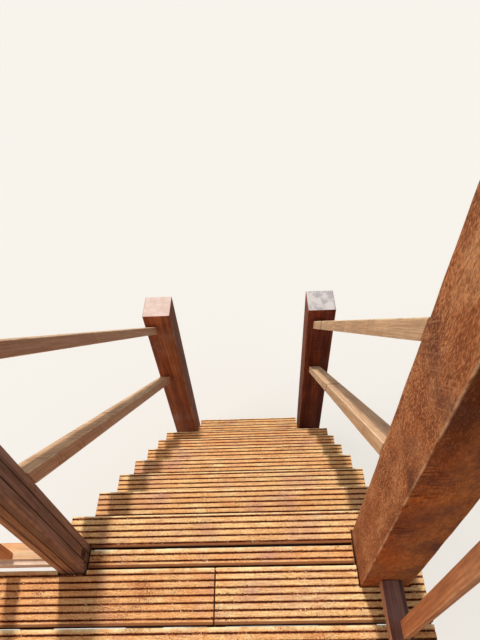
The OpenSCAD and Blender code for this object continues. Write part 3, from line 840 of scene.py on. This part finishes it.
def makeGroovedPost(node, finish):
    # each side of the plan has one corner and six groove points, rounded and darkened each in its way
    radius = np.tile([posts["slimRound"], *[posts["grooveRound"]] * 6], 4)
    depth = np.tile([0.0, 0.35, 1.0, 0.35, 0.35, 1.0, 0.35], 4)
    post = bar(*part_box(node), "z", radius, shape=groovedPlan, groove=depth, steps=4)
    makePiece(node, [post], [wood[finish], brownEnd])


makeGroovedPost("upper_left_post", "knottedPost")
for node in ("front_left_post", "rear_left_post", "rear_right_post"):
    makeGroovedPost(node, "groovedPost")

for node, finish, end in (("lower_left_post", "leftLowPost", pinkEnd),
                          ("lower_right_post", "rightLowPost", greyEnd)):
    makePiece(node, [bar(*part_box(node), "z", posts["round"], spacing=0.05)], [wood[finish], end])

heavy = bar(*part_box("upper_right_post"), "z", posts["heavyRound"], wander=0.0016, spacing=0.03)
makePiece("upper_right_post", [heavy], [wood["heavyPost"], brownEnd])
print("posts set")


rails = {"width": 0.060, "thickness": 0.040, "round": 0.0032, "step": (0.013, 0.010), "spacing": 0.05}


def makeStairRail(node, seam, finish):
    # laid flat between two upright ends: its depth d follows from thickness = d * cos(slope);
    # the seam is the place, up from its foot, where two lengths are glued
    low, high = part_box(node)
    run, depth = high[1] - low[1], rails["thickness"]
    for _ in range(12):  # each round comes nearer to the depth that fits its own slope
        fall = (high[2] - low[2] - depth) / run
        depth = rails["thickness"] * math.hypot(1, fall)
    least, most = low[0], high[0] - rails["width"]
    footX, headX = (least, most) if node.startswith("left") else (most, least)
    foot = np.array([footX, high[1], low[2]])
    head = np.array([headX, low[1], high[2] - depth])
    outline, worn = softCorners(boxCorners(rails["width"], rails["thickness"]), rails["round"], 4)
    outline = outline * [1, depth / rails["thickness"]]
    rail = carryProfile((outline, worn), foot, head - foot, acrossX, upZ, 0.0008, 0.0005, rails["spacing"],
                        seam=seam)
    makePiece(node, [rail], [wood[finish], paleEnd])


makeStairRail("left_top_rail", 1.0, "paleRail")
makeStairRail("left_middle_rail", 1.31, "curlyRail")
makeStairRail("right_top_rail", 0.36, "jointedRail")
makeStairRail("right_middle_rail", 0.81, "jointedRail")


def steppedSection(turned):
    # a low rail's section: a box with one long upper corner cut out in a step
    def shape(x, y, height):
        stepWidth, stepDepth = rails["step"]
        width = min(x, y)
        corners = np.array([[0, 0], [width, 0], [width, height], [stepWidth, height],
                            [stepWidth, height - stepDepth], [0, height - stepDepth]])
        return corners * [-1, 1] + [width, 0] if turned else corners
    return shape


for side, way, turned, finish in (("front", "x", False, "frontLowRail"), ("right", "y", True, "shadedSideLowRail"),
                                  ("left", "y", False, "frontLowRail")):
    low = bar(*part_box(side + "_bottom_rail"), way, spacing=rails["spacing"], shape=steppedSection(turned))
    makePiece(side + "_bottom_rail", [low], [wood[finish], paleEnd])
    guard = bar(*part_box(side + "_guard_rail"), way, rails["round"], spacing=rails["spacing"])
    makePiece(side + "_guard_rail", [guard], [wood["paleRail"], paleEnd])

balusters = {"width": 0.040, "frontCount": 6, "sideCount": 7, "round": 0.002}


def makeBalusters(node, axis, count):
    # upright lengths evenly spaced along one axis of the node's box
    low, high = (np.array(corner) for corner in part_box(node))
    lengths = []
    for at in np.linspace(low[axis], high[axis] - balusters["width"], count):
        first, last = low.copy(), high.copy()
        first[axis], last[axis] = at, at + balusters["width"]
        lengths.append(bar(first, last, "z", balusters["round"], wander=0.0004, spacing=0.08))
    makePiece(node, lengths, [wood["picket"], paleEnd])


makeBalusters("front_balusters", 0, balusters["frontCount"])
makeBalusters("right_balusters", 1, balusters["sideCount"])
makeBalusters("left_balusters", 1, balusters["sideCount"])
print("railings fitted")


studio = {"floorSize": 60.0, "floorDrop": 0.0005, "floorColour": tint(226, 224, 220),
          "floorBounce": tint(150, 146, 140), "skyStrength": 0.36}
lamps = {"keyLight": {"from": (-0.20, 0.98), "height": 68.0, "strength": 2.5, "size": 3.0,
                      "colour": (1.0, 0.97, 0.92)},
         "sideFill": {"from": (-1.0, -0.12), "height": 22.0, "strength": 1.15, "size": 60.0,
                      "colour": (1.0, 0.98, 0.96)}}


def makeFloor():
    # one square at z = -floorDrop, paler to the camera than in what it throws back
    corners = np.array([(-1, -1, 0), (1, -1, 0), (1, 1, 0), (-1, 1, 0)]) * studio["floorSize"] / 2
    corners[:, 2] = -studio["floorDrop"]
    mesh = bpy.data.meshes.new("studioFloor")
    mesh.from_pydata(corners.tolist(), [], [(0, 1, 2, 3)])
    material, tree = startMaterial("studioFloor")
    seen = addNode(tree, "ShaderNodeLightPath").outputs["Is Camera Ray"]
    colour = blend(tree, seen, studio["floorBounce"], studio["floorColour"])
    shader = addNode(tree, "ShaderNodeBsdfPrincipled", {"Base Color": colour, "Roughness": 0.95,
                                                        "Specular IOR Level": 0.0})
    tree.links.new(shader.outputs[0], addNode(tree, "ShaderNodeOutputMaterial").inputs[0])
    mesh.materials.append(material)
    addObject("studioFloor", mesh)


def makeSky():
    # the floor's colour at strength 1 where it is seen, an even white light elsewhere
    world = bpy.data.worlds.new("studioWorld")
    bpy.context.scene.world = world
    world.use_nodes = True
    tree = world.node_tree
    tree.nodes.clear()
    rays = addNode(tree, "ShaderNodeLightPath").outputs
    seen = maths(tree, "MAXIMUM", rays["Is Camera Ray"], rays["Is Glossy Ray"])
    seen = maths(tree, "MAXIMUM", seen, rays["Is Transmission Ray"])
    strength = spread(tree, seen, 0.0, 1.0, studio["skyStrength"], 1.0)
    colour = blend(tree, seen, (1.0, 1.0, 1.0, 1.0), studio["floorColour"])
    sky = addNode(tree, "ShaderNodeBackground", {"Color": colour, "Strength": strength})
    tree.links.new(sky.outputs[0], addNode(tree, "ShaderNodeOutputWorld").inputs[0])


def makeLamp(name, look):
    lamp = bpy.data.lights.new(name, "SUN")
    lamp.energy, lamp.angle, lamp.color = look["strength"], math.radians(look["size"]), look["colour"]
    height = math.radians(look["height"])
    flat = np.array(look["from"]) / np.linalg.norm(look["from"]) * math.cos(height)
    aim = Vector((*flat, math.sin(height))).to_track_quat("Z", "Y")
    addObject(name, lamp).rotation_euler = aim.to_euler()


makeFloor()
makeSky()
for name, look in lamps.items():
    makeLamp(name, look)

viewpoint = {"offset": (0.0972, -0.5596, 1.5373), "pitch": 48.10, "yaw": -3.11, "roll": -4.43, "lens": 27.06}


def placeCamera():
    # looks down by the pitch, turned right by the yaw, then turned by the roll about its own view
    pitch, yaw, roll = (math.radians(viewpoint[k]) for k in ("pitch", "yaw", "roll"))
    data = bpy.data.cameras.new("photoCamera")
    data.sensor_width, data.lens = 36.0, viewpoint["lens"]
    data.clip_start, data.clip_end = 0.02, 200.0
    camera = addObject("photoCamera", data)
    turn = Matrix.Rotation(-yaw, 4, "Z") @ Matrix.Rotation(math.pi / 2 - pitch, 4, "X")
    spot = Matrix.Translation(Vector(flightZero + viewpoint["offset"]))
    camera.matrix_world = spot @ turn @ Matrix.Rotation(roll, 4, "Z")
    bpy.context.scene.camera = camera


placeCamera()
bpy.context.scene.view_settings.view_transform = "Standard"

print("scene ready")
